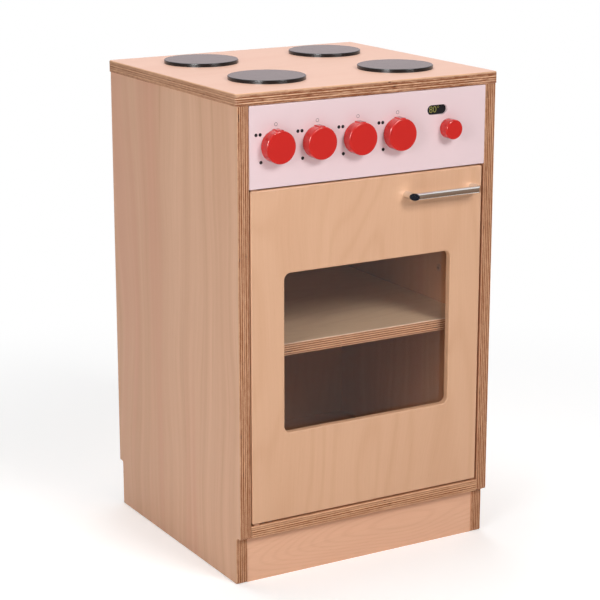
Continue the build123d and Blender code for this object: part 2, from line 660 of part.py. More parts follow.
def pivot_bush_seat(end):
    """The bore in the door edge that takes a bush; end is 1 at the top."""
    face = DOOR_TOP if end > 0 else DOOR_BOTTOM
    return rod((PIVOT_X, PIVOT_DEPTH, face + end),
               (PIVOT_X, PIVOT_DEPTH, face - end * (PIVOT_BUSH_LENGTH + HOLE_EXTRA)),
               PIVOT_PIN_RADIUS + RUN_CLEAR + PIVOT_BUSH_WALL + FIXED_CLEAR)


def pivot_bush(end):
    """A flanged bush; the lower one carries the door on its flange."""
    face = DOOR_TOP if end > 0 else DOOR_BOTTOM
    lip = PIVOT_LIP if end > 0 else DOOR_GAP_BOTTOM - END_PLAY
    radius = PIVOT_PIN_RADIUS + RUN_CLEAR + PIVOT_BUSH_WALL
    body = rod((PIVOT_X, PIVOT_DEPTH, face),
               (PIVOT_X, PIVOT_DEPTH, face - end * PIVOT_BUSH_LENGTH), radius)
    body += rod((PIVOT_X, PIVOT_DEPTH, face), (PIVOT_X, PIVOT_DEPTH, face + end * lip),
                radius + PIVOT_FLANGE)
    bore_end = face - end * (PIVOT_BUSH_LENGTH - 1)
    return body - rod((PIVOT_X, PIVOT_DEPTH, face + end * (lip + 1)),
                      (PIVOT_X, PIVOT_DEPTH, bore_end), PIVOT_PIN_RADIUS + RUN_CLEAR)


# ---- Magnetic catch ------------------------------------------------------------------

def catch_screws(make):
    """Two screws through the catch into the right side panel."""
    y = CATCH_FACE + CATCH_DEPTH / 2
    spread = (CATCH_LENGTH + MAGNET_LENGTH) / 4
    return [make((IN_X - CATCH_WIDTH, y, CATCH_Z + k * spread),
                 (IN_X - CATCH_WIDTH + CATCH_SCREW_LENGTH, y, CATCH_Z + k * spread))
            for k in (-1, 1)]


def magnet_box(grow=0.0):
    half = MAGNET_LENGTH / 2 + grow
    side = MAGNET_WIDTH / 2 + grow
    front = CATCH_FACE - MAGNET_STAND
    return block(STRIKE_X - side, STRIKE_X + side, front, front + MAGNET_DEPTH + grow,
                 CATCH_Z - half, CATCH_Z + half)


def catch_case():
    case = block(IN_X - CATCH_WIDTH, IN_X, CATCH_FACE, CATCH_FACE + CATCH_DEPTH,
                 CATCH_Z - CATCH_LENGTH / 2, CATCH_Z + CATCH_LENGTH / 2)
    case = fillet(case.edges().filter_by(Axis.X), CATCH_CORNER)
    return case - magnet_box(FIXED_CLEAR) - catch_screws(screw_hole)


def strike_screw(make):
    face = PLY + STRIKE_THICK
    return make((STRIKE_X, face, CATCH_Z), (STRIKE_X, face - SHORT_SCREW_LENGTH, CATCH_Z))


def strike_plate():
    strike = plate(STRIKE_WIDTH, STRIKE_LENGTH, STRIKE_CORNER, PLY, PLY + STRIKE_THICK,
                   STRIKE_X, CATCH_Z)
    return strike - strike_screw(screw_hole)


# ---- Burners ----------------------------------------------------------------------

def burner(x, y):
    disc = rod((x, y, HEIGHT), (x, y, HEIGHT + BURNER_THICK), BURNER_RADIUS)
    disc = fillet(disc.faces().sort_by(Axis.Z)[-1].edges(), BURNER_BEVEL)
    return disc - BURNER_SCREW_HOLES


# ---- Write the nodes ------------------------------------------------------------------

save("worktop", worktop())
save("side_panel_left", side_panel(-1))
save("side_panel_right", side_panel(1))
save("bottom_panel", bottom_panel())
save("back_panel", back_panel())
save("shelf", shelf())
save("kickboard", kickboard())
save("carcass_dowels", *carcass_dowels())
save("rail_dowels", *rail_dowels())
save("back_screws", *back_screws(screw))
save("shelf_sleeves", *[s for side in (-1, 1) for s in shelf_holes(side, shelf_sleeve)])
save("shelf_pins", *[shelf_pin(side, y) for side in (-1, 1) for y in PIN_ROWS])

save("fascia", fascia())
save("fascia_rail", fascia_rail())
for name, knob_x in KNOBS:
    made_knob = knob(knob_x, OVEN_KNOB_RADIUS) if name == "oven" else hob_knob(knob_x)
    save(f"{name}_knob", made_knob)
    save(f"{name}_spindle", spindle(knob_x))
    save(f"{name}_locknut", *washer_and_nut(knob_x))
save("spindle_bushes", *[spindle_bush(x, DIAL_BACK if name == "oven" else 0)
                         for name, x in KNOBS])
save("dial_disc", dial_disc())

save("door_panel", door_panel())
save("door_window", door_window())
save("glazing_beads", *glazing_beads())
save("door_handle", door_handle())
save("handle_screws", *handle_screws())
save("pivot_plate_top", pivot_plate(FASCIA_BOTTOM, 1))
save("pivot_plate_bottom", pivot_plate(FLOOR_TOP, -1))
save("pivot_screws", *pivot_screws(FASCIA_BOTTOM, 1, screw),
     *pivot_screws(FLOOR_TOP, -1, screw))
save("pivot_bush_top", pivot_bush(1))
save("pivot_bush_bottom", pivot_bush(-1))
save("catch_case", catch_case())
save("catch_magnet", magnet_box())
save("catch_screws", *catch_screws(screw))
save("strike_plate", strike_plate())
save("strike_screw", strike_screw(screw))

for name, (burner_x, burner_y) in BURNERS.items():
    save(name, burner(burner_x, burner_y))
save("burner_screws", *burner_screws(screw))
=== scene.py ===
"""Toy oven: surfaces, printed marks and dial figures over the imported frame, with a
plain floor, soft lamps and the camera. Metres, +Z up, the door faces -Y."""

import json
import math
from collections import namedtuple

import bmesh
import bpy
from mathutils import Matrix, Quaternion, Vector


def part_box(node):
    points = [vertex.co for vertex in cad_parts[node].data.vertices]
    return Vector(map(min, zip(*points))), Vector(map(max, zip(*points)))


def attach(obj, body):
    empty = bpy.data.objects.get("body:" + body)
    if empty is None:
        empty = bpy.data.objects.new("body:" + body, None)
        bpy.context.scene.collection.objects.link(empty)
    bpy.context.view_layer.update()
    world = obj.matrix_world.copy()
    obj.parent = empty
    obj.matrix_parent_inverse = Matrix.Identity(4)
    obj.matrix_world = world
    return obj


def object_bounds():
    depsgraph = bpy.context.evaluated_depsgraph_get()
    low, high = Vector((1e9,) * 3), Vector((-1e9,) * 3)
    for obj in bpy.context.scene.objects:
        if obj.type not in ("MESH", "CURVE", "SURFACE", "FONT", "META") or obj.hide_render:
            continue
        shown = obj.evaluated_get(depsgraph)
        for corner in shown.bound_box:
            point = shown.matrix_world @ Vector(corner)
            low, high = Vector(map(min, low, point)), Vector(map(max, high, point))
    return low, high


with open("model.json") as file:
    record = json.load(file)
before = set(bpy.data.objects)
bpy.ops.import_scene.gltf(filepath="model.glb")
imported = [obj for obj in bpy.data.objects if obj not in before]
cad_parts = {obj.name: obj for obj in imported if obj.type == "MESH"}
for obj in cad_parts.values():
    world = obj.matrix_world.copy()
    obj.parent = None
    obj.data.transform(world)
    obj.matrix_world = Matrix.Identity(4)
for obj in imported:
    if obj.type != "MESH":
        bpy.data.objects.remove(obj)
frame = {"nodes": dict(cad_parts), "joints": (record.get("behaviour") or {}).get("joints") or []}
cad_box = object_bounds()
nodes = frame["nodes"]
scene = bpy.context.scene

MM = 0.001
X, Y, Z = 0, 1, 2
WHITE = (1, 1, 1, 1)


def add_object(name, data):
    made = bpy.data.objects.new(name, data)
    scene.collection.objects.link(made)
    return made


def turn_to(thing, rotation):
    thing.rotation_mode = "QUATERNION"
    thing.rotation_quaternion = rotation


def sheet_mesh(name, width, height):
    w, h = width / 2, height / 2
    mesh = bpy.data.meshes.new(name)
    mesh.from_pydata([(-w, -h, 0), (w, -h, 0), (w, h, 0), (-w, h, 0)], [], [(0, 1, 2, 3)])
    return mesh


# ---- Node trees ---------------------------------------------------------------

def shade(red, green, blue):
    """A colour given as 0 to 255 display values, in linear light."""
    linear = []
    for value in (red, green, blue):
        c = value / 255
        linear.append(c / 12.92 if c <= 0.04045 else ((c + 0.055) / 1.055) ** 2.4)
    return (*linear, 1.0)


class Tree:
    """Builds a node tree. A value put into a socket is a number, a colour or a socket."""

    def __init__(self, owner):
        owner.use_nodes = True
        self.tree = owner.node_tree
        self.tree.nodes.clear()

    def node(self, kind, inputs=None, **settings):
        made = self.tree.nodes.new("ShaderNode" + kind)
        for key, value in settings.items():
            setattr(made, key, value)
        for key, value in (inputs or {}).items():
            self.put(made.inputs[key], value)
        return made

    def put(self, socket, value):
        if isinstance(value, bpy.types.NodeSocket):
            self.tree.links.new(value, socket)
        elif value is not None:
            socket.default_value = value

    def output(self, shader, kind="OutputMaterial"):
        self.node(kind, {"Surface": shader.outputs[0]})

    def math(self, operation, a, b=None):
        return self.node("Math", {0: a, 1: b}, operation=operation).outputs[0]

    def absolute(self, value):
        return self.math("ABSOLUTE", value)

    def times(self, *values):
        total = values[0]
        for value in values[1:]:
            total = self.math("MULTIPLY", total, value)
        return total

    def plus(self, *values):
        total = values[0]
        for value in values[1:]:
            total = self.math("ADD", total, value)
        return total

    def held(self, value):
        """A value kept between 0 and 1."""
        return self.math("MAXIMUM", self.math("MINIMUM", value, 1.0), 0.0)

    def swing(self, noise, strength):
        """A noise brought to either side of 0."""
        return self.times(self.plus(noise, -0.5), strength)

    def span(self, value, low, high, to_low=0.0, to_high=1.0, smooth=True):
        """A value's share of the way from low to high, held at both ends."""
        made = self.node("MapRange", {0: value, 1: low, 2: high, 3: to_low, 4: to_high},
                         interpolation_type="SMOOTHSTEP" if smooth else "LINEAR")
        return made.outputs[0]

    def mix(self, share, a, b, blend="MIX"):
        made = self.node("Mix", {0: share, 6: a, 7: b}, data_type="RGBA", blend_type=blend)
        return made.outputs[2]

    def vector(self, x, y, z):
        return self.node("CombineXYZ", {0: x, 1: y, 2: z}).outputs[0]

    def noise(self, vector, detail=2.0, roughness=0.5, scale=1.0):
        made = self.node("TexNoise", {"Vector": vector, "Scale": scale, "Detail": detail,
                                      "Roughness": roughness})
        return made.outputs[0]

    def grain(self, across, along, scales, third, detail, roughness=0.5):
        """Noise with one scale across the grain and another along it."""
        place = self.vector(self.times(across, scales[0]), self.times(along, scales[1]), third)
        return self.noise(place, detail, roughness)

    def seen_plain(self):
        """1 for camera, glossy and transmission rays, which see the stage as white."""
        path = self.node("LightPath").outputs
        total = self.plus(path["Is Camera Ray"], path["Is Glossy Ray"],
                          path["Is Transmission Ray"])
        return self.math("MINIMUM", total, 1.0)


# ---- Camera, floor and lamps --------------------------------------------------

CAMERA_PLACE = (-1.1924, -2.0264, 0.9215)
CAMERA_AZIMUTH = 29.26       # degrees to the right of straight back
CAMERA_DROP = 14.28          # degrees below level
CAMERA_ROLL = -0.28
SENSOR = 36.0
LENS = 113.6
SHIFT = (0.06, -0.03)

AMBIENT = 0.12               # the world's light on things; it is seen as plain white
FLOOR_SIDE = 40.0
FLOOR_ALBEDO = 0.92
FLOOR_GLOW = 0.26            # lifts the floor to white where a camera or a gloss sees it
FLOOR_NEAR, FLOOR_FAR = 0.45, 1.1    # the shadow fades into plain white between these

# name: direction to the lamp, distance, size, watts
LAMPS = {
    "overhead": ((0.0, 0.25, 0.97), 2.6, 1.6, 42.5),
    "key": ((0.18, -0.80, 0.56), 2.6, 0.85, 32.0),
    "left": ((-0.76, -0.48, 0.30), 1.7, 0.70, 9.2),
}

# Cards that only reflections see: name: middle, width, height, facing, colour of the glow
CARDS = {
    "card_floor": ((1.4, -2.5, 0.003), 5.6, 4.6, (0, 0, 1), (0.26, 0.17, 0.12)),
    "card_front": ((1.0, -3.2, 2.4), 6.5, 4.8, (0, 1, 0), (0.28, 0.19, 0.14)),
    "card_left": ((-1.15, -0.85, 0.20), 0.7, 0.55, (0.87, 0.49, 0), (0.008, 0.010, 0.02)),
    "card_back": ((1.8, 3.2, 1.5), 6.0, 4.0, (0, -1, 0), (0.96, 0.83, 0.85)),
    "card_key": ((0.62, -2.24, 1.42), 0.90, 0.60, (-0.24, 0.86, -0.44), (28.0,) * 3),
    "card_lamp": ((-1.15, -0.85, 0.95), 0.40, 0.70, (0.74, 0.53, -0.40), (50.0,) * 3),
}


def place_camera():
    data = bpy.data.cameras.new("camera")
    data.sensor_width = SENSOR
    data.lens = LENS
    data.shift_x, data.shift_y = SHIFT
    camera = add_object("camera", data)
    azimuth, drop = math.radians(CAMERA_AZIMUTH), math.radians(CAMERA_DROP)
    look = Vector((math.sin(azimuth) * math.cos(drop), math.cos(azimuth) * math.cos(drop),
                   -math.sin(drop)))
    roll = Quaternion((0, 0, 1), math.radians(CAMERA_ROLL))
    camera.location = CAMERA_PLACE
    turn_to(camera, look.to_track_quat("-Z", "Y") @ roll)
    scene.camera = camera


def light_world():
    world = bpy.data.worlds.new("studio")
    scene.world = world
    t = Tree(world)
    strength = t.span(t.seen_plain(), 0.0, 1.0, AMBIENT, 1.0, smooth=False)
    t.output(t.node("Background", {"Color": WHITE, "Strength": strength}), "OutputWorld")


def lay_floor():
    mesh = sheet_mesh("floor", FLOOR_SIDE, FLOOR_SIDE)
    floor = add_object("floor", mesh)
    material = bpy.data.materials.new("floor")
    t = Tree(material)
    matt = t.node("BsdfDiffuse", {"Color": (FLOOR_ALBEDO,) * 3 + (1,)})
    glow = t.node("Emission", {"Color": WHITE, "Strength": t.times(t.seen_plain(), FLOOR_GLOW)})
    near = t.node("AddShader", {0: matt.outputs[0], 1: glow.outputs[0]})
    far = t.node("Emission", {"Color": WHITE, "Strength": 1.0})
    place = t.node("TexCoord").outputs["Object"]
    reach = t.node("VectorMath", {0: place}, operation="LENGTH").outputs["Value"]
    share = t.times(t.span(reach, FLOOR_NEAR, FLOOR_FAR), t.seen_plain())
    t.output(t.node("MixShader", {0: share, 1: near.outputs[0], 2: far.outputs[0]}))
    mesh.materials.append(material)


def stand_cards():
    """Toned cards that shape what chrome and the pane reflect, and nothing else."""
    for name, (middle, width, height, facing, tone) in CARDS.items():
        mesh = sheet_mesh(name, width, height)
        card = add_object(name, mesh)
        card.location = middle
        turn_to(card, Vector(facing).to_track_quat("Z", "Y"))
        material = bpy.data.materials.new(name)
        t = Tree(material)
        t.output(t.node("Emission", {"Color": (*tone, 1), "Strength": 1.0}))
        mesh.materials.append(material)
        card.visible_camera = card.visible_diffuse = card.visible_shadow = False
        card.visible_transmission = False


def hang_lamps():
    middle = (cad_box[0] + cad_box[1]) / 2
    for name, (direction, distance, size, watts) in LAMPS.items():
        data = bpy.data.lights.new(name, "AREA")
        data.shape = "SQUARE"
        data.size = size
        data.energy = watts
        lamp = add_object(name, data)
        away = Vector(direction).normalized()
        lamp.location = middle + away * distance
        turn_to(lamp, (-away).to_track_quat("-Z", "Y"))


# ---- Plywood ------------------------------------------------------------------

LIGHT_WOOD = shade(226, 181, 147)
DARK_WOOD = shade(198, 146, 110)
BLUSH_WOOD = shade(214, 152, 124)
SIDE_WOOD = shade(226, 179, 147)
SIDE_FIGURE = shade(196, 143, 106)
PINK_WOOD = shade(238, 189, 157)
PINK_FIGURE = shade(204, 148, 114)
# Painted light: the shelf is paler than the other inside wood. This stands in for the light that
# falls on it through the window.
LIT_SHELF_WOOD = shade(243, 215, 183)
LIT_SHELF_FIGURE = shade(216, 180, 146)
# Painted shade: the back and bottom panels' veneer is darker and redder. This stands in for the
# shade inside the oven.
SHADED_INNER_WOOD = shade(212, 158, 122)
SHADED_INNER_FIGURE = shade(186, 132, 98)
# Partly pale veneer and partly painted light: the worktop is made paler still, to stand in for
# the light that falls on its top.
PALE_LIT_WOOD = shade(233, 190, 169)
PALE_LIT_FIGURE = shade(216, 170, 145)
# Partly pale sanded ply and partly a painted highlight: the pale line on the shelf's lit front
# arris.
ARRIS_HIGHLIGHT_WOOD = shade(250, 232, 220)
PLY_LIGHT = shade(225, 177, 140)
PLY_DARK = shade(134, 73, 34)
PLY_GLUE = shade(90, 47, 24)
PLY_THICK = 1.36 * MM        # one layer

# The axes of a board's thickness and grain, its colours, how close its growth lines lie
# and how strong they are, how strong its long streaks are, how strong and how blotchy the
# layers on its edge are, and its gloss.
Board = namedtuple(
    "Board", "thick grain light dark lines figure streaks edge_depth blotches gloss",
    defaults=(200.0, 1.0, 0.0, 1.0, 1.0, 0.40))
SIDE = Board(X, Z, SIDE_WOOD, SIDE_FIGURE, figure=0.12, streaks=0.5, edge_depth=1.35,
             blotches=0.5, gloss=0.30)
BOARDS = {
    "worktop": Board(Z, X, PALE_LIT_WOOD, PALE_LIT_FIGURE, figure=0.3, streaks=0.1, edge_depth=1.4,
                     gloss=0.50),
    "side_panel_left": SIDE,
    "side_panel_right": SIDE,
    "bottom_panel": Board(Z, X, SHADED_INNER_WOOD, SHADED_INNER_FIGURE, edge_depth=1.1, blotches=0.6,
                          gloss=0.15),
    "back_panel": Board(Y, Z, SHADED_INNER_WOOD, SHADED_INNER_FIGURE, figure=0.5, gloss=0.15),
    "shelf": Board(Z, X, LIT_SHELF_WOOD, LIT_SHELF_FIGURE, figure=0.8, edge_depth=1.4,
                   blotches=0.25, gloss=0.30),
    "kickboard": Board(Y, X, PINK_WOOD, PINK_FIGURE, lines=420.0, figure=0.6),
    "fascia_rail": Board(Y, X, LIGHT_WOOD, DARK_WOOD),
    "door_panel": Board(Y, Z, LIGHT_WOOD, DARK_WOOD, lines=90.0, figure=0.7,
                        edge_depth=0.15),
}
SEED_STEP = 3.1              # from one board's noises to the next board's
INWARD = {"side_panel_left": 1, "side_panel_right": -1}    # which way the inside faces
INSIDE_SHADE_TINT = (0.80, 0.68, 0.60, 1.0)   # painted shade: the veneer on that face is made redder and darker

Spot = namedtuple("Spot", "across along thick normal")    # a shaded point, in board axes
FACING = (0.80, 0.93)        # a normal's part along an axis, from turned aside to facing it

DRIFT_SCALES = (6.0, 3.0)    # across and along the grain
DRIFT = 0.07                 # how far the figure wanders across the board, in metres
# name: scales across and along the grain, step of the seed, detail, roughness
VENEER_NOISES = {
    "field": ((6.5, 1.7), 4.0, 2.0, 0.4),
    "broad": ((13.0, 0.9), 9.0, 2.0, 0.5),
    "fibres": ((620.0, 11.0), 0.0, 2.0, 0.5),
    "flecks": ((1100.0, 90.0), 0.0, 1.0, 0.5),
    "bands": ((46.0, 0.7), 2.0, 3.0, 0.6),
    "streaks": ((170.0, 2.6), 6.0, 2.0, 0.5),
    "blush": ((17.0, 0.6), 12.0, 2.0, 0.5),
}
FLECKS_SHOW = (0.62, 0.80)   # values of their noise, from no flecks to full ones
STREAKS_SHOW = (0.60, 0.80)
BLUSH_SHOWS = (0.50, 0.64)
RING_POWER = 3.0             # narrows the dark lines
VENEER_TONE = 0.34           # from light at 0 to dark at 1, and what is added to it
VENEER_TONES = {"rings": 0.20, "broad": 0.36, "fibres": 0.26, "flecks": 0.13,
                "bands": 2.4, "streaks": 0.5}

WANDER_SCALES = (18.0, 18.0)
WANDER = 0.2                 # how far the layers stray, in layers
# name: scale along the edge, step from layer to layer, detail
EDGE_NOISES = {
    "runs": (14.0, 5.3, 3.0),
    "dashes": (110.0, 7.7, 1.0),
    "gaps": (55.0, 9.1, 0.0),
}
DUST_SCALE = 900.0
LAYER_SEED, LAYER_SEED_STEP = 50.0, 13.7
GAPS_SHOW = (0.76, 0.80)
GLUE_SHOWS = (0.40, 0.49)    # from a layer's middle, in layers
EDGE_TONE = 0.10             # from light at 0 to dark at 1, and what is added to it
EDGE_TONES = {"odd": 0.44, "layer": 0.42, "runs": 1.3, "dashes": 0.9, "dust": 0.3}
GLUE_SHARE = 0.45
GAP_SHARE = 0.8
END_CALM, END_TONE = 0.55, 0.14        # how much calmer a board's ends are, and their tone
# Partly pale outer plies and partly a painted highlight: the top layers of a level board's edge,
# where light from above falls, are paled.
TOP_PLIES = (2.5, 1.0)       # a level board pales between these layers from its top
TOP_PALER_AND_HIGHLIGHT = 0.7

# Where the painted arris highlight lies: on normals that point partly up, toward the light.
ARRIS_HIGHLIGHT_RISES, ARRIS_HIGHLIGHT_FALLS = (0.30, 0.55), (0.97, 0.87)  # by how much a normal points up
ARRIS_HIGHLIGHT_SHARE = 0.65
FACE_ROUGHNESS, EDGE_ROUGHNESS = 0.42, 0.62            # a cut edge drinks the lacquer
FLECK_HEIGHT, GLUE_HEIGHT = -0.6, -1.2                 # where the fibres stand up 1
GRAIN_RELIEF = 0.03 * MM     # the height of that 1


def veneer_look(t, name, board, spot, seed):
    """A drifting figure with faint growth lines, fibres and flecks: colour and relief."""
    drift = t.grain(spot.across, spot.along, DRIFT_SCALES, seed, detail=1.0)
    warped = t.plus(spot.across, t.swing(drift, DRIFT))
    noises = {kind: t.grain(warped, spot.along, scales, seed + step, detail, roughness)
              for kind, (scales, step, detail, roughness) in VENEER_NOISES.items()}
    rings = t.math("SINE", t.times(noises["field"], board.lines))
    rings = t.math("POWER", t.span(rings, -1.0, 1.0, smooth=False), RING_POWER)
    flecks = t.span(noises["flecks"], *FLECKS_SHOW)
    streaks = t.span(noises["streaks"], *STREAKS_SHOW)
    tone = t.held(t.plus(
        VENEER_TONE,
        t.times(rings, VENEER_TONES["rings"] * board.figure),
        t.swing(noises["broad"], VENEER_TONES["broad"]),
        t.swing(noises["fibres"], VENEER_TONES["fibres"]),
        t.times(flecks, VENEER_TONES["flecks"]),
        t.swing(noises["bands"], VENEER_TONES["bands"] * board.streaks),
        t.times(streaks, VENEER_TONES["streaks"] * board.streaks)))
    colour = t.mix(tone, board.light, board.dark)
    blush = t.times(t.span(noises["blush"], *BLUSH_SHOWS), board.streaks)
    colour = t.mix(blush, colour, BLUSH_WOOD)
    # Painted shade: the inside faces of the side panels are darkened and reddened, standing in
    # for the shade inside the oven.
    if name in INWARD:
        inside = t.span(t.times(spot.normal[board.thick], INWARD[name]), *FACING)
        colour = t.mix(inside, colour, INSIDE_SHADE_TINT, blend="MULTIPLY")
    return colour, t.plus(noises["fibres"], t.times(noises["flecks"], FLECK_HEIGHT))


def edge_tone(t, board, spot, layer, odd, noises, seed):
    """How dark a layer is: a level of its own, then runs, dashes and dust along it."""
    layer_seed = t.plus(layer, seed * LAYER_SEED_STEP + LAYER_SEED)
    level = t.node("TexWhiteNoise", {"W": layer_seed}, noise_dimensions="1D").outputs[0]
    dust = t.grain(spot.across, spot.along, (DUST_SCALE, DUST_SCALE),
                   t.times(spot.thick, DUST_SCALE), detail=1.0)
    return t.held(t.plus(
        EDGE_TONE,
        t.times(odd, EDGE_TONES["odd"]),
        t.times(level, EDGE_TONES["layer"] * board.blotches),
        t.swing(noises["runs"], EDGE_TONES["runs"] * board.blotches),
        t.swing(noises["dashes"], EDGE_TONES["dashes"] * board.blotches),
        t.swing(dust, EDGE_TONES["dust"])))


def edge_look(t, name, board, spot, seed):
    """Layers that lie along the grain and across it by turns, with glue lines between:
    colour and what lies low."""
    low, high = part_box(name)
    thickness = high[board.thick] - low[board.thick]
    layers = round(thickness / PLY_THICK)
    layers += 1 - layers % 2     # an odd count, so that both faces run the same way

    wander = t.grain(spot.across, spot.along, WANDER_SCALES, seed + 1.0, detail=1.0)
    depth = t.times(t.plus(spot.thick, -low[board.thick]), layers / thickness)
    depth = t.plus(depth, t.swing(wander, WANDER))
    layer = t.math("FLOOR", depth)
    odd = t.math("MODULO", layer, 2.0)
    glue = t.span(t.absolute(t.plus(t.math("FRACT", depth), -0.5)), *GLUE_SHOWS)
    noises = {kind: t.grain(spot.across, spot.along, (scale, scale),
                            t.times(layer, step), detail)
              for kind, (scale, step, detail) in EDGE_NOISES.items()}
    tone = edge_tone(t, board, spot, layer, odd, noises, seed)

    # A board's ends are calmer than its front. Its top layers are paler, partly pale outer plies
    # and partly a painted highlight along the lit top of the edge, less so there.
    end = t.span(t.absolute(spot.normal[board.grain]), *FACING)
    calm = t.plus(1.0, t.times(end, -END_CALM))
    tone = t.plus(t.times(tone, calm), t.times(end, END_TONE))
    if board.thick == Z:
        start, full = TOP_PLIES
        top = t.times(t.span(depth, layers - start, layers - full), calm)
        tone = t.times(tone, t.plus(1.0, t.times(top, -TOP_PALER_AND_HIGHLIGHT * board.blotches)))
    gaps = t.times(t.span(noises["gaps"], *GAPS_SHOW), odd)
    colour = t.mix(t.times(tone, board.edge_depth), PLY_LIGHT, PLY_DARK)
    colour = t.mix(t.times(glue, calm, GLUE_SHARE * board.edge_depth), colour, PLY_GLUE)
    colour = t.mix(t.times(gaps, calm, GAP_SHARE * board.edge_depth), colour, PLY_GLUE)
    return colour, t.plus(glue, odd)


def plywood(name, board, seed):
    """Lacquered birch plywood for one node: veneer on its faces, layers on its edges."""
    material = bpy.data.materials.new(name + "_ply")
    t = Tree(material)
    coords = t.node("TexCoord").outputs
    place = t.node("SeparateXYZ", {0: coords["Object"]}).outputs
    normal = t.node("SeparateXYZ", {0: coords["Normal"]}).outputs
    across = X + Y + Z - board.thick - board.grain         # the axis that is left
    spot = Spot(place[across], place[board.grain], place[board.thick], normal)
    veneer, raised = veneer_look(t, name, board, spot, seed)
    edge, sunk = edge_look(t, name, board, spot, seed)

    facing = t.span(t.absolute(normal[board.thick]), *FACING)
    colour = t.mix(facing, edge, veneer)
    # Partly pale sanded ply and partly a painted highlight: a pale line along the shelf's front
    # arris, where light from above catches it.
    if name == "shelf":      # a pale line along its front arris
        arris_highlight = t.times(t.span(normal[Z], *ARRIS_HIGHLIGHT_RISES), t.span(normal[Z], *ARRIS_HIGHLIGHT_FALLS))
        colour = t.mix(t.times(arris_highlight, ARRIS_HIGHLIGHT_SHARE), colour, ARRIS_HIGHLIGHT_WOOD)
    edge_height = t.plus(t.times(facing, -GLUE_HEIGHT), GLUE_HEIGHT)
    relief = t.plus(t.times(raised, facing), t.times(sunk, edge_height))
    roughness = t.span(facing, 0.0, 1.0, EDGE_ROUGHNESS, FACE_ROUGHNESS)
    shine = t.span(facing, 0.0, 1.0, board.gloss / 2, board.gloss)
    finish_surface(t, colour, roughness, specular=shine, bump=relief,
                   bump_height=GRAIN_RELIEF)
    return material


# ---- Other surfaces -----------------------------------------------------------

UNEVEN = (0.3, 0.7)          # where a surface's unevenness reaches its limits
BRUSH_FINE, BRUSH_LONG = 900.0, 12.0   # scales across and along a brushed grain
BRUSH_RELIEF = 0.01 * MM
PANE_COLOUR = (0.97, 0.94, 0.91, 1)
PANE_SHADOW = (0.96, 0.95, 0.94, 1)
PANE_INDEX = 1.38


def finish_surface(t, colour, roughness, metallic=0.0, specular=0.5, bump=None,
                   bump_height=0.0):
    """Ends a material with one Principled shader."""
    inputs = {"Base Color": colour, "Roughness": roughness, "Metallic": metallic,
              "Specular IOR Level": specular}
    if bump is not None:
        bumped = t.node("Bump", {"Height": bump, "Distance": bump_height, "Strength": 1.0})
        inputs["Normal"] = bumped.outputs[0]
    t.output(t.node("BsdfPrincipled", inputs))


def plain(name, colour, roughness, metallic=0.0, specular=0.5, mottle=0.03, mottle_scale=60.0,
          brushed=None, handled=0.12):
    """One colour with a little unevenness in it and in its gloss."""
    material = bpy.data.materials.new(name)
    t = Tree(material)
    coords = t.node("TexCoord").outputs["Object"]
    uneven = t.noise(coords, detail=4.0, scale=mottle_scale)
    half_as_light = tuple(c * 0.5 for c in colour[:3]) + (1,)
    base = t.mix(t.swing(uneven, 2.0 * mottle), colour, half_as_light)
    rough = t.span(uneven, *UNEVEN, roughness * (1 - handled), roughness * (1 + handled))
    bump, height = None, 0.0
    if brushed is not None:
        place = t.node("SeparateXYZ", {0: coords}).outputs
        scales = [BRUSH_LONG if axis == brushed else BRUSH_FINE for axis in (X, Y, Z)]
        bump = t.noise(t.vector(*[t.times(place[i], scales[i]) for i in (X, Y, Z)]))
        height = BRUSH_RELIEF
    finish_surface(t, base, rough, metallic, specular, bump, height)
    return material


def clear_pane():
    """Clear acrylic that lets shadow rays through, so that the lamps reach the shelf."""
    material = bpy.data.materials.new("clear_pane")
    t = Tree(material)
    glass = t.node("BsdfPrincipled", {"Base Color": PANE_COLOUR, "Roughness": 0.0,
                                      "IOR": PANE_INDEX, "Transmission Weight": 1.0})
    through = t.node("BsdfTransparent", {"Color": PANE_SHADOW})
    path = t.node("LightPath").outputs
    lighting = t.math("MAXIMUM", path["Is Shadow Ray"], path["Is Diffuse Ray"])
    t.output(t.node("MixShader", {0: lighting, 1: glass.outputs[0], 2: through.outputs[0]}))
    return material


def dress(names, material):
    for name in names:
        slots = nodes[name].data.materials
        slots.clear()
        slots.append(material)


def dress_nodes():
    for i, (name, board) in enumerate(BOARDS.items()):
        dress([name], plywood(name, board, SEED_STEP * i))
    groups = {
        plain("white_laminate", shade(230, 205, 208), 0.34): ["fascia"],
        plain("knob_red", shade(201, 42, 38), 0.08, specular=0.34, mottle=0.02):
            [n for n in nodes if n.endswith("_knob")],
        plain("burner_black", shade(20, 17, 18), 0.20, specular=0.27, handled=0.03):
            [n for n in nodes if n.startswith("burner_") and n != "burner_screws"],
        plain("dial_black", shade(15, 15, 22), 0.40, specular=0.2): ["dial_disc"],
        plain("chrome", shade(222, 221, 219), 0.09, metallic=1.0): ["door_handle"],
        plain("zinc_steel", shade(196, 196, 192), 0.36, metallic=1.0, mottle=0.1,
              mottle_scale=400.0):
            [n for n in nodes if n.endswith(("_spindle", "_locknut", "screws", "_screw"))]
            + ["shelf_pins", "strike_plate"],
        plain("bronzed_steel", shade(192, 138, 104), 0.5, specular=0.3, mottle=0.1):
            ["pivot_plate_top", "pivot_plate_bottom"],
        plain("brown_nylon", shade(176, 124, 92), 0.5):
            ["shelf_sleeves", "pivot_bush_top", "pivot_bush_bottom"],
        plain("nylon", shade(228, 226, 216), 0.5): ["spindle_bushes"],
        plain("catch_plastic", shade(232, 230, 224), 0.4): ["catch_case"],
        plain("magnet", shade(70, 70, 74), 0.5, metallic=0.6, mottle=0.1): ["catch_magnet"],
        plain("beech", shade(220, 178, 142), 0.5, mottle=0.12, mottle_scale=120.0,
              brushed=X): ["carcass_dowels", "rail_dowels", "glazing_beads"],
        clear_pane(): ["door_window"],
    }
    for material, names in groups.items():
        dress(names, material)


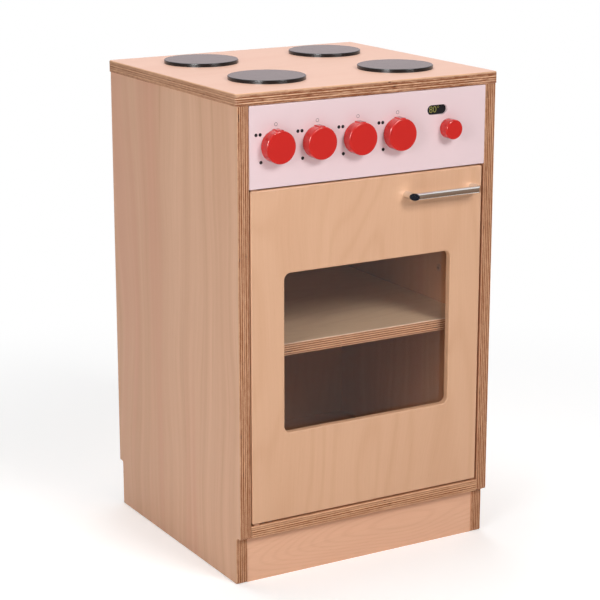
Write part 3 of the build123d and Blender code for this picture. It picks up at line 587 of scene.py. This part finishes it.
# ---- Printed marks ------------------------------------------------------------

MARK_THICK = 0.05 * MM
RING_RADIUS = 2.15 * MM
RING_LINE = 0.5 * MM
DOT_RADIUS = 2.1 * MM
RING_PLACE = (0.6 * MM, 25.2 * MM)     # from a knob's axis
DOT_PLACES = ((-25.6 * MM, 14.6 * MM), (-20.2 * MM, 14.6 * MM), (-19.3 * MM, -17.7 * MM))
SEGMENTS = 32


def new_piece(name, mesh, body, material):
    piece = add_object(name, mesh)
    mesh.materials.clear()
    mesh.materials.append(material)
    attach(piece, body)


def flat_ring(mesh_data, centre, outer, inner, y):
    """Adds a thin printed disc, or a ring where inner is not 0, on a plane facing -Y."""
    cx, cz = centre
    loops = []
    for radius in (outer, inner) if inner else (outer,):
        for depth in (y, y - MARK_THICK):
            ring = []
            for i in range(SEGMENTS):
                angle = math.tau * i / SEGMENTS
                ring.append(mesh_data.verts.new((cx + radius * math.cos(angle), depth,
                                                 cz + radius * math.sin(angle))))
            loops.append(ring)
    bands = ((0, 1), (1, 3), (3, 2), (2, 0)) if inner else ((0, 1),)
    for i in range(SEGMENTS):
        j = (i + 1) % SEGMENTS
        for a, b in bands:
            mesh_data.faces.new((loops[a][i], loops[a][j], loops[b][j], loops[b][i]))
    if not inner:
        mesh_data.faces.new(loops[1])
        mesh_data.faces.new(list(reversed(loops[0])))


def finish_mesh(name, mesh_data):
    bmesh.ops.recalc_face_normals(mesh_data, faces=mesh_data.faces)
    mesh = bpy.data.meshes.new(name)
    mesh_data.to_mesh(mesh)
    mesh_data.free()
    return mesh


def knob_axis(name):
    joint = next(j for j in frame["joints"] if j["name"] == name + "_knob_turn")
    return joint["pos_m"][X], joint["pos_m"][Z]


def print_marks():
    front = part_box("fascia")[0][Y]
    grey = plain("mark_grey", shade(112, 98, 100), 0.5)
    black = plain("mark_black", shade(22, 21, 24), 0.45, specular=0.2)
    rings, dots = bmesh.new(), bmesh.new()
    for i in range(1, 5):
        kx, kz = knob_axis(f"hob_{i}")
        flat_ring(rings, (kx + RING_PLACE[0], kz + RING_PLACE[1]), RING_RADIUS,
                  RING_RADIUS - RING_LINE, front)
        for dx, dz in DOT_PLACES:
            flat_ring(dots, (kx + dx, kz + dz), DOT_RADIUS, 0.0, front)
    new_piece("mark_rings", finish_mesh("mark_rings", rings), "carcass", grey)
    new_piece("mark_dots", finish_mesh("mark_dots", dots), "carcass", black)


# ---- Figures on the temperature dial ------------------------------------------

DIAL_FIGURES = ("180°", "200°", "220°", "240°", "60°", "100°", "120°", "150°")
FIGURE_HEIGHT = 11.0 * MM    # text size; its digits stand about 0.73 of this
FIGURE_RADIUS = 31.2 * MM
FIGURE_FIRST = math.radians(131.7)     # where the first one stands upright
FIGURE_THIN = -0.12 * MM               # taken off the strokes


def number_dial():
    """Numbers round the dial, each upright when it comes to the window."""
    kx, kz = knob_axis("oven")
    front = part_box("dial_disc")[0][Y]
    yellow = plain("figure_yellow", shade(146, 143, 60), 0.5)
    stand = Matrix.Translation((kx, front, kz)) @ Matrix.Rotation(math.radians(90), 4, "X")
    out = Matrix.Translation((FIGURE_RADIUS * math.cos(FIGURE_FIRST),
                              FIGURE_RADIUS * math.sin(FIGURE_FIRST), 0))
    for i, words in enumerate(DIAL_FIGURES):
        curve = bpy.data.curves.new(f"dial_figure_{i}", "FONT")
        curve.body = words
        curve.size = FIGURE_HEIGHT
        curve.extrude = MARK_THICK
        curve.offset = FIGURE_THIN
        curve.align_x, curve.align_y = "CENTER", "CENTER"
        text = add_object(f"dial_text_{i}", curve)
        bpy.context.view_layer.update()
        evaluated = text.evaluated_get(bpy.context.evaluated_depsgraph_get())
        mesh = bpy.data.meshes.new_from_object(evaluated)
        bpy.data.objects.remove(text)
        turn = Matrix.Rotation(-math.tau * i / len(DIAL_FIGURES), 4, "Z")
        mesh.transform(stand @ turn @ out)
        new_piece(f"dial_figure_{i + 1}", mesh, "oven_knob_body", yellow)


# ---- Put it together ----------------------------------------------------------

scene.view_settings.view_transform = "Standard"
place_camera()
light_world()
lay_floor()
stand_cards()
hang_lamps()
dress_nodes()
print_marks()
number_dial()
